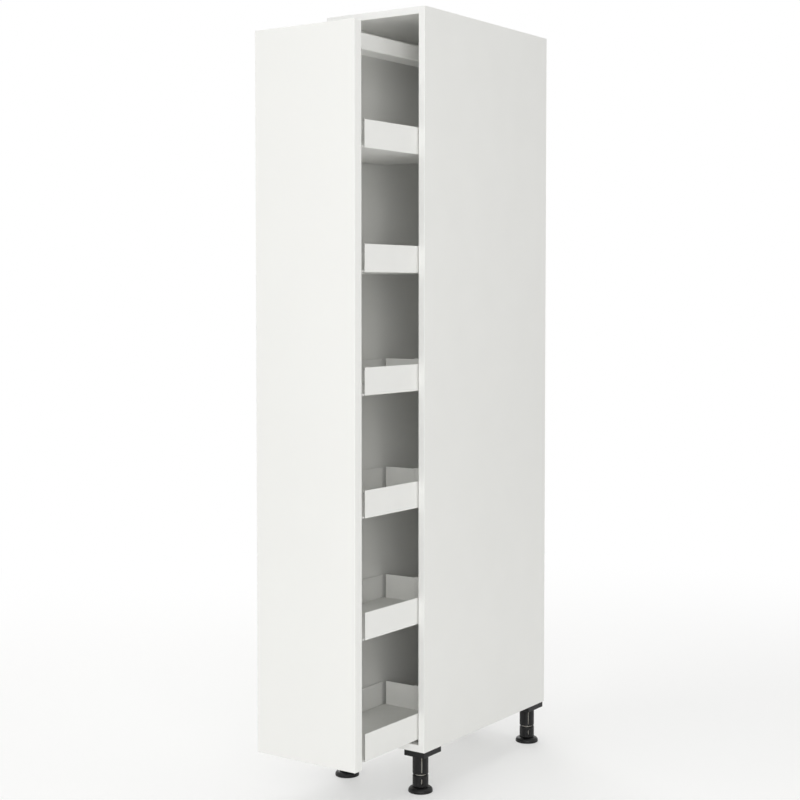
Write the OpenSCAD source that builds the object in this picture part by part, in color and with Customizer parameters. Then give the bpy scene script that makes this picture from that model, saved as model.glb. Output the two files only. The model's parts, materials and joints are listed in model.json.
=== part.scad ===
// Pull out larder unit: a tall narrow cabinet on four adjustable legs. Its door carries a frame
// with six hook-in baskets, which rolls out on a flat ball runner and is guided at the top.
// Millimetres, +Z up, front towards -Y. The origin is on the floor under the middle of the
// whole unit as it stands in the rest pose, with the pull-out part of the way open.

/* [Cabinet] */
// Outer width of the cabinet
carcass_w = 300; // [250:1:400]
// Depth of the cabinet, without the door
carcass_d = 600; // [500:1:720]
// Height of the cabinet, without its legs
carcass_h = 1840; // [1500:1:2250]
// Thickness of the side, top and bottom boards
board_t = 18; // [15:0.5:22]
// Thickness of the back board
back_t = 8; // [6:0.5:10]
// Space behind the back board
back_inset = 18; // [12:1:30]
// Depth of the groove that holds the back board
groove_d = 8; // [5:0.5:10]

/* [Legs] */
// Height of the legs, from the floor to the cabinet
leg_h = 110; // [90:1:160]
// Distance from a leg's axis to the outer faces of the cabinet
leg_inset = 35; // [34:0.5:45]
// Size of the socket plate across the cabinet
plate_w = 60; // [50:1:64]
// Size of the socket plate front to back
plate_d = 78; // [60:1:90]
// Height of the socket plate
plate_t = 15; // [12:0.5:20]
// Distance of the socket plate from the outer faces of the cabinet
plate_setback = 3; // [0:0.5:8]
// Radius of the socket tube and of the adjusting sleeve
tube_r = 20; // [18:0.5:24]
// Radius of the threaded spindle
spindle_r = 14; // [10:0.5:15]
// Height of the adjusting sleeve
sleeve_h = 30; // [20:0.5:40]
// Radius of the foot
foot_r = 31; // [26:0.5:36]
// Height of the foot
foot_h = 13; // [10:0.5:18]
// Radius of the pin on which the foot swivels
foot_pin_r = 6; // [4:0.5:8]

/* [Pull-out] */
// How far the pull-out stands open in the rest pose
rest_pull = 255; // [0:1:400]
// Thickness of the door
door_t = 28; // [18:0.5:32]
// Gap between the shut door and the cabinet
door_gap = 2; // [1.5:0.1:4]
// How far each side of the door stays short of the cabinet's outer face
door_side_gap = 2; // [1:0.5:4]
// How far the door starts above the cabinet's underside
door_foot_gap = 23; // [5:1:40]
// How far the door stops below the cabinet's top
door_head_gap = 72; // [5:1:90]
// Depth of the front and rear uprights
upright_d = 18; // [16:0.5:24]
// Width of the front upright
front_upright_w = 40; // [34:1:50]
// Width of the rear upright
rear_upright_w = 26; // [24:1:30]
// Sheet thickness of the uprights, carriers and hooks
plate_steel = 2; // [1.5:0.1:2.5]
// Width of the top channel
rail_w = 60; // [56:1:76]
// Height of the top channel
rail_h = 40; // [36:1:50]
// Sheet thickness of the top channel
rail_t = 1.5; // [1.2:0.1:2]
// Space between the top board and the top channel
rail_head_gap = 49; // [35:1:70]
// Free depth behind the rear upright when the unit is shut
rear_space = 75; // [65:1:95]

/* [Floor runner] */
// Height of the whole runner
runner_h = 11.5; // [11:0.1:16]
// Width of the outer member
runner_w = 64; // [56:1:76]
// Sheet thickness of the three members
runner_t = 1.2; // [1:0.1:1.5]
// Diameter of the bearing balls
ball_d = 3; // [2.5:0.1:3.5]
// Gap between a ball and each race
ball_gap = 0.3; // [0.3:0.05:0.5]
// Distance between neighbouring balls
ball_pitch = 22; // [12:1:30]

/* [Baskets] */
// Height of the basket walls
wall_h = 67; // [50:1:100]
// Sheet thickness of the trays
tray_t = 1.2; // [0.8:0.1:2]
// Width of the notch at each open corner
corner_gap = 8; // [5:0.5:14]
// Thickness of the base board in each tray
base_t = 3; // [2:0.5:12]
// Gap between a basket and the cabinet's side board
basket_side_gap = 3; // [2:0.5:12]
// Gap between the runner and the lowest basket
basket_run_gap = 1.1; // [1:0.1:10]
// Space between the highest basket and the top channel
top_space = 185.4; // [100:0.1:300]
// Width of a hook plate
hook_w = 56; // [50:1:70]

/* [Fixings] */
// Radius of a cam lock
cam_r = 7.5; // [6:0.5:8]
// Distance from a cam's axis to the board joint
cam_reach = 34; // [24:1:40]
// Radius of a wooden dowel
dowel_r = 4; // [3:0.5:5]
// Radius of the holes for the wall fixings
wall_hole_r = 4; // [3:0.5:6]
// Distance between the two wall fixings
wall_fix_span = 170; // [120:1:200]

/* [Hidden] */
$fn = 48;
eps = 1; // how far a cut runs past the face that it opens
basket_count = 6;

WHITE = "#f4f4f2";
STEEL = "#b9bcc0";
BLACK = "#1b1b1c";
NYLON = "#e9e6dc";
BEECH = "#d8b98a";

// planes of the cabinet, measured from its front plane and its underside
inner_w = carcass_w - 2 * board_t;
floor_z = board_t;
ceiling_z = carcass_h - board_t;
back_y = carcass_d - back_inset - back_t;
front_plane_y = (rest_pull + door_gap + door_t - carcass_d) / 2;

// board joints: cams and dowels at each end of the top and bottom boards
joint_in = 11;        // how far bolts and dowels enter the side board
bolt_end_r = 2.5;
bolt_r = 3.5;
bolt_past_cam = 2;
cam_h = board_t / 2 + bolt_r;
dowel_l = 30;
cam_rows = [carcass_d / 4, carcass_d * 3 / 4];
dowel_shift = 40;
groove_play = 0.5;

// chipboard screws: countersunk head and plain shank
screw_head_r = 4;
screw_head_h = 1.2;
screw_r = 2;
screw_l = 14;

// machine screws: flat round head and plain shank
bolt_head_r = 4.5;
bolt_head_h = 2.5;
shank_r = 2.5;

// legs, downwards from the cabinet's underside
leg_gap = 3.5;        // between socket tube and sleeve
foot_gap = 0.5;       // between sleeve and foot
thread_play = 0.05;
spindle_top = -12;
bore_top = -8;
foot_top = foot_h - leg_h;
sleeve_bottom = foot_top + foot_gap;
sleeve_top = sleeve_bottom + sleeve_h;
tube_bottom = sleeve_top + leg_gap;
slit_w = 3;
slit_margin = 3;
slot_w = 3.5;
slot_h = sleeve_h / 2;
foot_rim = 4;
foot_edge = 1.5;      // chamfer around the foot's underside
foot_neck_r = tube_r + 1;
foot_pin_h = 16;
foot_play = 0.05;
leg_screw_inset = 9;
leg_screw_floor = 4;  // plate left above the screw recesses
recess_r = 5;
leg_names = ["front_left", "front_right", "rear_left", "rear_right"];
leg_signs = [[-1, -1], [1, -1], [-1, 1], [1, 1]];

// floor runner: three lipped channels one inside the other
runner_gap = 0.6;     // between the members' floors
runner_lip = 4;
runner_top_gap = 1.7; // from the outer member's lips to the runner's top
race_step = 2 * (runner_t + ball_d + 2 * ball_gap);
mid_w = runner_w - race_step;
inner_member_w = mid_w - race_step;
mid_z = runner_t + runner_gap;
inner_z = mid_z + runner_t + runner_gap;
lipped_h = runner_h - runner_top_gap;
runner_front = 4;
runner_back = back_y - 10;
runner_screw_end = 30;
mid_front = 30;
mid_back = runner_back - 34;
cage_t = 0.8;
cage_play = 0.4;
pocket_play = 0.05;
outer_cage_front = 130;
outer_cage_l = 270;
inner_cage_front = 155;
inner_cage_l = 220;
cage_end = 14;        // from a cage's end to its first ball

// door and frame, in the closed position
door_w = carcass_w - 2 * door_side_gap;
door_h = carcass_h - door_foot_gap - door_head_gap;
door_back_y = -door_gap;
bracket_t = 3;
bracket_w = 130;
bracket_h = 60;
bracket_inset = 70;   // from an upright's end to the middle of its end bracket
door_screw_x = bracket_w / 2 - 12;
tie_x = front_upright_w / 2 - 6;
tie_head_h = 1.8;
upright_y = door_back_y + bracket_t;
upright_z0 = floor_z + runner_h;
rail_z1 = ceiling_z - rail_head_gap;
rail_z0 = rail_z1 - rail_h;
rail_lip = 14;
rail_back = back_y - 14;
rail_screw_x = rail_w / 2 - 12;
rail_screw_z = rail_h * 0.4;
end_plate_t = 4;
end_screw_x = [10, 5]; // screws through the ends of the front and rear uprights
front_lip = 10;
bumper_r = 5;
bumper_t = door_gap - 0.1;
bumper_inset = 30;

// hooks and carriers, outwards from the outer face of a basket's end wall
hook_gap = 1.4;
hook_play = 0.3;
pocket_d = plate_steel + 2 * hook_play;
carrier_d = hook_gap + 2 * plate_steel + pocket_d;
carrier_w = 52;
carrier_z = 12;
tongue_w = 44;
tongue_z = carrier_z + plate_steel + 4;
carrier_screws = [24, 52];

// baskets
basket_w = inner_w - 2 * basket_side_gap;
basket_y0 = upright_y + upright_d + carrier_d;
basket_y1 = back_y - rear_space - upright_d - carrier_d;
basket_d = basket_y1 - basket_y0;
rear_upright_y = basket_y1 + carrier_d;
inner_back = rear_upright_y + upright_d;
first_basket_z = upright_z0 + basket_run_gap;
last_basket_z = rail_z0 - top_space - wall_h;
basket_pitch = (last_basket_z - first_basket_z) / (basket_count - 1);
base_play = 0.3;

// top guide: a fixed rail inside the open channel, hung from the top board
guide_front = 8;
guide_back = back_y - 9;
guide_w = 24;
guide_h = 12;
guide_t = 2;
head_w = 46;
head_l = 68;
head_t = 3;
roller_r = 12;
roller_h = 10;
roller_play = 0.3;
axle_r = 3;
axle_play = 0.05;
axle_head_r = 5;
axle_head_h = 2;
roller_x = rail_w / 2 - rail_t - roller_play - roller_r;
roller_ys = [26, 60];
axle_z = rail_z0 + rail_t + 4;
roller_z = axle_z + axle_head_h + roller_play;
head_z = roller_z + roller_h + roller_play;
guide_z = head_z + head_t;
hanger_l = [40, 35];
hanger_y = [245, guide_back - 40];
hanger_t = 3;
hanger_flange_w = 60;
hanger_screw_x = 23;

// wall brackets
wall_bracket_w = 40;
wall_bracket_h = 60;
wall_bracket_t = 3;
wall_hole_drop = 37;  // from the top board's underside
wall_screw_x = 10;
wall_screw_y = 24;

LEGS = [for (part = ["spindle", "sleeve", "foot"], n = leg_names) str("leg_", part, "_", n)];
BASKETS = [for (k = [1:basket_count], part = ["tray", "base", "hooks"])
           str("basket_", k, "_", part)];

// ---------------------------------------------------------------- places

// Puts a piece drawn in the closed position where the rest pose has it: share is the part of
// the pull-out's travel that the piece makes, from 0 on the cabinet to 1 on the door.
module drawn_out(share = 0) {
    translate([0, front_plane_y - share * rest_pull, leg_h]) children();
}

// A box given by its low and high corners.
module slab(low, high) {
    translate(low) cube(high - low);
}

// A round bar or hole between two points on one axis through p: along is "x", "y" or "z".
module rod(r, p, l, along = "z") {
    turn = along == "x" ? [0, 90, 0] : along == "y" ? [-90, 0, 0] : [0, 0, 0];
    translate(p) rotate(turn) cylinder(r = r, h = l);
}

// Each end of the top and bottom boards, with +X inwards from the joint and -Z outwards.
module at_joints(rows) {
    for (level = [0, 1], side = [-1, 1], y = rows)
        translate([side * inner_w / 2, y, level == 0 ? board_t / 2 : carcass_h - board_t / 2])
            rotate([0, 0, side > 0 ? 180 : 0]) mirror([0, 0, level]) children();
}

// The axis of each leg, or of one leg.
module at_legs(which = [0:3]) {
    for (i = which)
        translate([leg_signs[i].x * (carcass_w / 2 - leg_inset),
                   leg_signs[i].y < 0 ? leg_inset : carcass_d - leg_inset, 0]) children();
}

// Mirrors a leg's fixed parts so that +X and +Y point out of the cabinet's corner.
module at_leg_corners() {
    for (s = leg_signs)
        translate([s.x * (carcass_w / 2 - leg_inset),
                   s.y < 0 ? leg_inset : carcass_d - leg_inset, 0])
            mirror([s.x < 0 ? 1 : 0, 0, 0]) mirror([0, s.y < 0 ? 1 : 0, 0]) children();
}

// The middle of a basket's end wall, with +Y out of the basket and Z from its underside.
module at_basket_ends(k) {
    z = first_basket_z + (k - 1) * basket_pitch;
    translate([0, basket_y0, z]) mirror([0, 1, 0]) children();
    translate([0, basket_y1, z]) children();
}

// ---------------------------------------------------------------- shapes

// A channel along +Y that opens upwards, with lips that turn inwards; lip = t leaves none.
module channel(w, h, t, lip, l) {
    difference() {
        slab([-w / 2, 0, 0], [w / 2, l, h]);
        slab([t - w / 2, -eps, t], [w / 2 - t, l + eps, lip > t ? h - t : h + eps]);
        slab([lip - w / 2, -eps, t], [w / 2 - lip, l + eps, h + eps]);
    }
}

// A countersunk chipboard screw that points up, with the head's flat end at z = 0.
module panel_screw() {
    cylinder(r1 = screw_head_r, r2 = screw_r, h = screw_head_h);
    translate([0, 0, screw_head_h]) cylinder(r = screw_r, h = screw_l - screw_head_h);
}

// A machine screw along +Z: its head is below z = 0 and its shank above.
module machine_screw(l, r = shank_r) {
    translate([0, 0, -bolt_head_h]) cylinder(r = bolt_head_r, h = bolt_head_h);
    cylinder(r = r, h = l);
}

// ---------------------------------------------------------------- screw places

module leg_screw_places() {
    x0 = leg_inset - plate_setback;
    for (x = [x0 - leg_screw_inset, x0 - plate_w + leg_screw_inset],
         y = [x0 - leg_screw_inset, x0 - plate_d + leg_screw_inset])
        at_leg_corners() translate([x, y, -leg_screw_floor]) children();
}

module runner_screw_places() {
    first = runner_front + runner_screw_end;
    step = (runner_back - runner_screw_end - first) / 3;
    for (i = [0:3])
        translate([0, first + i * step, floor_z + runner_t]) mirror([0, 0, 1]) children();
}

module hanger_screw_places() {
    for (i = [0, 1], side = [-1, 1])
        translate([side * hanger_screw_x, hanger_y[i] + hanger_l[i] / 2,
                   ceiling_z - hanger_t]) children();
}

module wall_bracket_screw_places() {
    for (side = [-1, 1], dx = [-wall_screw_x, wall_screw_x])
        translate([side * wall_fix_span / 2 + dx, back_y - wall_screw_y,
                   ceiling_z - wall_bracket_t]) children();
}

module bracket_levels() {
    for (z = [upright_z0 + bracket_inset, (upright_z0 + rail_z0) / 2, rail_z0 - bracket_inset])
        translate([0, 0, z]) children();
}

// Door screws point at the door from its back: four rows in the brackets, one in the channel.
module door_screw_places() {
    bracket_levels() for (side = [-1, 1])
        translate([side * door_screw_x, upright_y, 0]) rotate([90, 0, 0]) children();
    for (side = [-1, 1])
        translate([side * rail_screw_x, door_back_y + rail_t, rail_z0 + rail_screw_z])
            rotate([90, 0, 0]) children();
}

// Flush screws that tie the door brackets to the front upright's lips, pointing backwards.
module tie_screw_places() {
    bracket_levels() for (side = [-1, 1], dz = [-bracket_h / 4, bracket_h / 4])
        translate([side * tie_x, door_back_y, dz]) rotate([-90, 0, 0]) children();
}

module carrier_screw_places() {
    for (k = [1:basket_count]) at_basket_ends(k)
        for (z = carrier_screws)
            translate([0, carrier_d + plate_steel, z]) rotate([90, 0, 0]) children();
}

// Screws through the ends of the uprights, into the inner runner member and from the channel.
module upright_end_places(level) {
    for (end = [0, 1], side = [-1, 1])
        translate([side * end_screw_x[end],
                   (end == 0 ? upright_y : rear_upright_y) + upright_d / 2,
                   level == 0 ? upright_z0 + end_plate_t : rail_z0 + rail_t])
            mirror([0, 0, 1]) children();
}

// ---------------------------------------------------------------- cabinet

module cam_bolt() {
    rod(bolt_end_r, [-joint_in, 0, 0], joint_in, "x");
    rod(bolt_r, [0, 0, 0], cam_reach + bolt_past_cam, "x");
}

module cam_body() {
    translate([cam_reach, 0, -board_t / 2]) cylinder(r = cam_r, h = cam_h);
}

module dowel() {
    rod(dowel_r, [-joint_in, 0, 0], dowel_l, "x");
}

module all_bolts() {
    at_joints(cam_rows) cam_bolt();
}

module all_dowels() {
    at_joints([cam_rows[0] - dowel_shift, cam_rows[1] + dowel_shift]) dowel();
}

module side_panel(side) {
    color(WHITE) drawn_out() difference() {
        slab([side < 0 ? -carcass_w / 2 : inner_w / 2, 0, 0],
             [side < 0 ? -inner_w / 2 : carcass_w / 2, carcass_d, carcass_h]);
        slab([-inner_w / 2 - groove_d, back_y, -eps],
             [inner_w / 2 + groove_d, back_y + back_t, carcass_h + eps]);
        all_bolts();
        all_dowels();
        leg_screw_places() panel_screw();
    }
}

module cross_board(z) {
    difference() {
        slab([-inner_w / 2, 0, z], [inner_w / 2, carcass_d, z + board_t]);
        slab([-carcass_w / 2, back_y, floor_z - groove_d],
             [carcass_w / 2, back_y + back_t, ceiling_z + groove_d]);
        all_bolts();
        all_dowels();
        at_joints(cam_rows) cam_body();
        children();
    }
}

module top_panel() {
    color(WHITE) drawn_out() cross_board(ceiling_z) {
        union() {
            hanger_screw_places() panel_screw();
            wall_bracket_screw_places() panel_screw();
        }
    }
}

module bottom_panel() {
    color(WHITE) drawn_out() cross_board(0) {
        union() {
            leg_screw_places() panel_screw();
            runner_screw_places() panel_screw();
        }
    }
}

module wall_holes() {
    for (side = [-1, 1])
        rod(wall_hole_r, [side * wall_fix_span / 2, back_y - 2 * wall_bracket_t,
                          ceiling_z - wall_hole_drop], back_t + 4 * wall_bracket_t, "y");
}

module back_panel() {
    grip = groove_d - groove_play;
    color(WHITE) drawn_out() difference() {
        slab([-inner_w / 2 - grip, back_y, floor_z - grip],
             [inner_w / 2 + grip, back_y + back_t, ceiling_z + grip]);
        wall_holes();
    }
}

module cam_locks() {
    color(STEEL) drawn_out() at_joints(cam_rows) difference() {
        cam_body();
        cam_bolt();
    }
}

module cam_bolts() {
    color(STEEL) drawn_out() all_bolts();
}

module dowels() {
    color(BEECH) drawn_out() all_dowels();
}

module panel_screws() {
    color(STEEL) drawn_out() {
        leg_screw_places() panel_screw();
        runner_screw_places() panel_screw();
        hanger_screw_places() panel_screw();
        wall_bracket_screw_places() panel_screw();
    }
}

module wall_brackets() {
    color(STEEL) drawn_out() difference() {
        for (side = [-1, 1]) translate([side * wall_fix_span / 2, back_y, ceiling_z]) {
            slab([-wall_bracket_w / 2, -wall_bracket_w, -wall_bracket_t],
                 [wall_bracket_w / 2, 0, 0]);
            slab([-wall_bracket_w / 2, -wall_bracket_t, -wall_bracket_h],
                 [wall_bracket_w / 2, 0, 0]);
        }
        wall_holes();
        wall_bracket_screw_places() panel_screw();
    }
}

// ---------------------------------------------------------------- legs

module leg_sockets() {
    x0 = leg_inset - plate_setback;
    color(BLACK) drawn_out() difference() {
        at_leg_corners() difference() {
            union() {
                slab([x0 - plate_w, x0 - plate_d, -plate_t], [x0, x0, 0]);
                rod(tube_r, [0, 0, tube_bottom], -tube_bottom - plate_t / 2);
            }
            rod(spindle_r + thread_play, [0, 0, tube_bottom - eps], bore_top - tube_bottom + eps);
            for (a = [45, 135]) rotate([0, 0, a])
                slab([-tube_r - eps, -slit_w / 2, tube_bottom + slit_margin],
                     [tube_r + eps, slit_w / 2, -plate_t - slit_margin]);
        }
        leg_screw_places() {
            panel_screw();
            translate([0, 0, -plate_t]) cylinder(r = recess_r, h = plate_t);
        }
    }
}

module leg_spindle(i) {
    color(NYLON) drawn_out() at_legs([i]) difference() {
        rod(spindle_r, [0, 0, sleeve_bottom], spindle_top - sleeve_bottom);
        rod(foot_pin_r + foot_play, [0, 0, sleeve_bottom - eps], foot_pin_h + eps);
    }
}

module leg_sleeve(i) {
    slot_z = (sleeve_top + sleeve_bottom) / 2;
    color(BLACK) drawn_out() at_legs([i]) difference() {
        rod(tube_r, [0, 0, sleeve_bottom], sleeve_h);
        rod(spindle_r, [0, 0, sleeve_bottom - eps], sleeve_h + 2 * eps);
        for (a = [45:90:315]) rotate([0, 0, a]) {
            slab([spindle_r - eps, -slot_w / 2, slot_z - (slot_h - slot_w) / 2],
                 [tube_r + eps, slot_w / 2, slot_z + (slot_h - slot_w) / 2]);
            for (end = [-1, 1])
                rod(slot_w / 2, [spindle_r - eps, 0, slot_z + end * (slot_h - slot_w) / 2],
                    tube_r - spindle_r + 2 * eps, "x");
        }
    }
}

module leg_foot(i) {
    dome = [for (a = [0:15:90]) [foot_neck_r + (foot_r - foot_neck_r) * cos(a),
                                 foot_rim + (foot_h - foot_rim) * sin(a)]];
    pin_top = foot_h + foot_gap + foot_pin_h - foot_play;
    color(BLACK) drawn_out() at_legs([i]) translate([0, 0, -leg_h])
        rotate_extrude($fn = 96)
            polygon(concat([[0, 0], [foot_r - foot_edge, 0], [foot_r, foot_edge]], dome,
                           [[foot_pin_r, foot_h], [foot_pin_r, pin_top], [0, pin_top]]));
}

// ---------------------------------------------------------------- floor runner

module runner_outer() {
    color(STEEL) drawn_out() difference() {
        translate([0, runner_front, floor_z])
            channel(runner_w, lipped_h, runner_t, runner_lip, runner_back - runner_front);
        runner_screw_places() panel_screw();
    }
}

module runner_middle() {
    color(STEEL) drawn_out(0.5) translate([0, mid_front, floor_z + mid_z])
        channel(mid_w, lipped_h - mid_z, runner_t, runner_lip, mid_back - mid_front);
}

module runner_inner() {
    color(STEEL) drawn_out(1) difference() {
        translate([0, upright_y, upright_z0]) mirror([0, 0, 1])
            channel(inner_member_w, runner_h - inner_z, runner_t, runner_t,
                    inner_back - upright_y);
        upright_end_places(0) machine_screw(end_plate_t + runner_t);
    }
}

// Two strips with a row of balls each, outside a member whose full width is given.
module ball_cage(member_w, z0, z1, front, l) {
    x = member_w / 2 + ball_gap + ball_d / 2;
    count = floor((l - 2 * cage_end) / ball_pitch);
    ys = [for (i = [0:count]) front + l / 2 + (i - count / 2) * ball_pitch];
    z = floor_z + (z0 + z1) / 2;
    for (side = [-1, 1]) {
        difference() {
            slab([side * x - cage_t / 2, front, floor_z + z0],
                 [side * x + cage_t / 2, front + l, floor_z + z1]);
            for (y = ys) rod(ball_d / 2 + pocket_play, [side * x - cage_t, y, z],
                             2 * cage_t, "x");
        }
        for (y = ys) translate([side * x, y, z]) sphere(d = ball_d);
    }
}

module ball_cage_outer() {
    color(STEEL) drawn_out(0.25)
        ball_cage(mid_w, runner_t + cage_play, lipped_h - runner_t - cage_play,
                  outer_cage_front, outer_cage_l);
}

module ball_cage_inner() {
    color(STEEL) drawn_out(0.75)
        ball_cage(inner_member_w, mid_z + runner_t + cage_play,
                  lipped_h - runner_t - cage_play, inner_cage_front, inner_cage_l);
}

// ---------------------------------------------------------------- top guide

module hanger_bolt_places() {
    for (i = [0, 1])
        translate([0, hanger_y[i] + hanger_l[i] / 2, guide_z + guide_h + hanger_t])
            mirror([0, 0, 1]) children();
}

module guide_rail() {
    color(STEEL) drawn_out() difference() {
        union() {
            slab([-guide_w / 2, guide_front, guide_z],
                 [guide_w / 2, guide_back, guide_z + guide_h]);
            slab([-head_w / 2, guide_front, head_z], [head_w / 2, guide_front + head_l, guide_z]);
        }
        slab([guide_t - guide_w / 2, guide_front - eps, guide_z + guide_t],
             [guide_w / 2 - guide_t, guide_back + eps, guide_z + guide_h - guide_t]);
        hanger_bolt_places() machine_screw(hanger_t + guide_t);
        axle_places() axle();
    }
}

module guide_hangers() {
    foot_z = guide_z + guide_h;
    color(STEEL) drawn_out() difference() {
        for (i = [0, 1]) translate([0, hanger_y[i], 0]) difference() {
            union() {
                slab([-hanger_flange_w / 2, 0, ceiling_z - hanger_t],
                     [hanger_flange_w / 2, hanger_l[i], ceiling_z]);
                slab([-guide_w / 2, 0, foot_z], [guide_w / 2, hanger_l[i], ceiling_z]);
            }
            slab([-guide_w, hanger_t, foot_z + hanger_t],
                 [guide_w, hanger_l[i] - hanger_t, ceiling_z - hanger_t]);
        }
        hanger_screw_places() panel_screw();
        hanger_bolt_places() machine_screw(hanger_t + guide_t);
    }
}

module axle() {
    rod(axle_r, [0, 0, axle_head_h], guide_z - axle_z - axle_head_h);
    cylinder(r = axle_head_r, h = axle_head_h);
}

module axle_places() {
    for (side = [-1, 1])
        translate([side * roller_x, roller_ys[side < 0 ? 0 : 1], axle_z]) children();
}

// Two roller axles, and the two screws that hold the rail to its hangers.
module guide_pins() {
    color(STEEL) drawn_out() {
        axle_places() axle();
        hanger_bolt_places() machine_screw(hanger_t + guide_t);
    }
}

module guide_roller(side) {
    color(NYLON) drawn_out()
        translate([side * roller_x, roller_ys[side < 0 ? 0 : 1], roller_z]) difference() {
            cylinder(r = roller_r, h = roller_h);
            rod(axle_r + axle_play, [0, 0, -eps], roller_h + 2 * eps);
        }
}

// ---------------------------------------------------------------- pull-out

module door_panel() {
    color(WHITE) drawn_out(1) difference() {
        slab([-door_w / 2, door_back_y - door_t, door_foot_gap],
             [door_w / 2, door_back_y, door_foot_gap + door_h]);
        door_screw_places() machine_screw(screw_l + bracket_t, screw_r);
    }
}

module door_screws() {
    color(STEEL) drawn_out(1) door_screw_places() machine_screw(screw_l + bracket_t, screw_r);
}

module tie_screw() {
    cylinder(r = bolt_head_r, h = tie_head_h);
    cylinder(r = shank_r, h = bracket_t + plate_steel);
}

module door_brackets() {
    color(STEEL) drawn_out(1) difference() {
        bracket_levels() slab([-bracket_w / 2, door_back_y, -bracket_h / 2],
                              [bracket_w / 2, upright_y, bracket_h / 2]);
        door_screw_places() machine_screw(screw_l + bracket_t, screw_r);
        tie_screw_places() tie_screw();
    }
}

module door_bumpers() {
    color(NYLON) drawn_out(1)
        for (side = [-1, 1], z = [door_foot_gap + bumper_inset,
                                  door_foot_gap + door_h - bumper_inset])
            rod(bumper_r, [side * (carcass_w - board_t) / 2, door_back_y, z], bumper_t, "y");
}

module machine_screws() {
    color(STEEL) drawn_out(1) {
        tie_screw_places() tie_screw();
        carrier_screw_places() machine_screw(2 * plate_steel);
        upright_end_places(0) machine_screw(end_plate_t + runner_t);
        upright_end_places(1) machine_screw(end_plate_t + rail_t);
    }
}

// An upright: a channel on end, open away from the baskets, with a plate at each end.
module upright(w, lip) {
    t = plate_steel;
    channel_h = rail_z0 - upright_z0;
    difference() {
        slab([-w / 2, 0, 0], [w / 2, upright_d, channel_h]);
        slab([t - w / 2, t, end_plate_t],
             [w / 2 - t, lip > t ? upright_d - t : upright_d + eps, channel_h - end_plate_t]);
        slab([lip - w / 2, t, end_plate_t],
             [w / 2 - lip, upright_d + eps, channel_h - end_plate_t]);
    }
}

module upright_screw_holes() {
    tie_screw_places() tie_screw();
    carrier_screw_places() machine_screw(2 * plate_steel);
    upright_end_places(0) machine_screw(end_plate_t + runner_t);
    upright_end_places(1) machine_screw(end_plate_t + rail_t);
}

module front_upright() {
    color(WHITE) drawn_out(1) difference() {
        translate([0, upright_y + upright_d, upright_z0]) mirror([0, 1, 0])
            upright(front_upright_w, front_lip);
        upright_screw_holes();
    }
}

module rear_upright() {
    color(WHITE) drawn_out(1) difference() {
        translate([0, rear_upright_y, upright_z0]) upright(rear_upright_w, plate_steel);
        upright_screw_holes();
    }
}

module top_channel() {
    color(WHITE) drawn_out(1) difference() {
        union() {
            translate([0, door_back_y, rail_z0])
                channel(rail_w, rail_h, rail_t, rail_lip, rail_back - door_back_y);
            slab([-rail_w / 2, door_back_y, rail_z0], [rail_w / 2, door_back_y + rail_t, rail_z1]);
        }
        door_screw_places() machine_screw(screw_l + bracket_t, screw_r);
        upright_end_places(1) machine_screw(end_plate_t + rail_t);
    }
}

module basket_carriers() {
    color(WHITE) drawn_out(1) difference() {
        for (k = [1:basket_count]) at_basket_ends(k) difference() {
            slab([-carrier_w / 2, hook_gap, carrier_z], [carrier_w / 2, carrier_d, wall_h]);
            slab([-tongue_w / 2 - hook_play, hook_gap + plate_steel, carrier_z + plate_steel],
                 [tongue_w / 2 + hook_play, hook_gap + plate_steel + pocket_d, wall_h + eps]);
        }
        carrier_screw_places() machine_screw(2 * plate_steel);
    }
}

// ---------------------------------------------------------------- baskets

module basket_tray(k) {
    z = first_basket_z + (k - 1) * basket_pitch;
    side_x = basket_w / 2;
    notch = side_x - corner_gap;
    color(WHITE) drawn_out(1) translate([0, 0, z]) {
        slab([-side_x, basket_y0, 0], [side_x, basket_y1, tray_t]);
        slab([-side_x, basket_y0 + corner_gap, 0], [tray_t - side_x, basket_y1 - corner_gap, wall_h]);
        slab([side_x - tray_t, basket_y0 + corner_gap, 0], [side_x, basket_y1 - corner_gap, wall_h]);
        slab([-notch, basket_y0, 0], [notch, basket_y0 + tray_t, wall_h]);
        slab([-notch, basket_y1 - tray_t, 0], [notch, basket_y1, wall_h]);
    }
}

module basket_base(k) {
    z = first_basket_z + (k - 1) * basket_pitch;
    edge = tray_t + base_play;
    color(WHITE) drawn_out(1)
        slab([edge - basket_w / 2, basket_y0 + edge, z + tray_t],
             [basket_w / 2 - edge, basket_y1 - edge, z + tray_t + base_t]);
}

module basket_hooks(k) {
    top = wall_h + plate_steel;
    tongue_y = hook_gap + plate_steel + hook_play;
    color(WHITE) drawn_out(1) at_basket_ends(k) {
        slab([-hook_w / 2, -tray_t - plate_steel, tray_t + base_t],
             [hook_w / 2, -tray_t, top]);
        slab([-hook_w / 2, -tray_t - plate_steel, wall_h],
             [hook_w / 2, tongue_y + plate_steel, top]);
        slab([-tongue_w / 2, tongue_y, tongue_z], [tongue_w / 2, tongue_y + plate_steel, top]);
    }
}

// ---------------------------------------------------------------- nodes

side_panel(-1);  // side_panel_left
side_panel(1);  // side_panel_right
top_panel();
bottom_panel();
back_panel();
cam_locks();
cam_bolts();
dowels();
panel_screws();
wall_brackets();
leg_sockets();
runner_outer();
guide_rail();
guide_hangers();
guide_pins();
guide_roller(-1);  // guide_roller_left
guide_roller(1);  // guide_roller_right
door_panel();
door_brackets();
door_screws();
machine_screws();
door_bumpers();
front_upright();
rear_upright();
top_channel();
runner_inner();
basket_carriers();
runner_middle();
ball_cage_outer();
ball_cage_inner();
for (i = [0:3]) {
    leg_spindle(i);
    leg_sleeve(i);
    leg_foot(i);
}
for (k = [1:basket_count]) {
    basket_tray(k);
    basket_base(k);
    basket_hooks(k);
}
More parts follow.
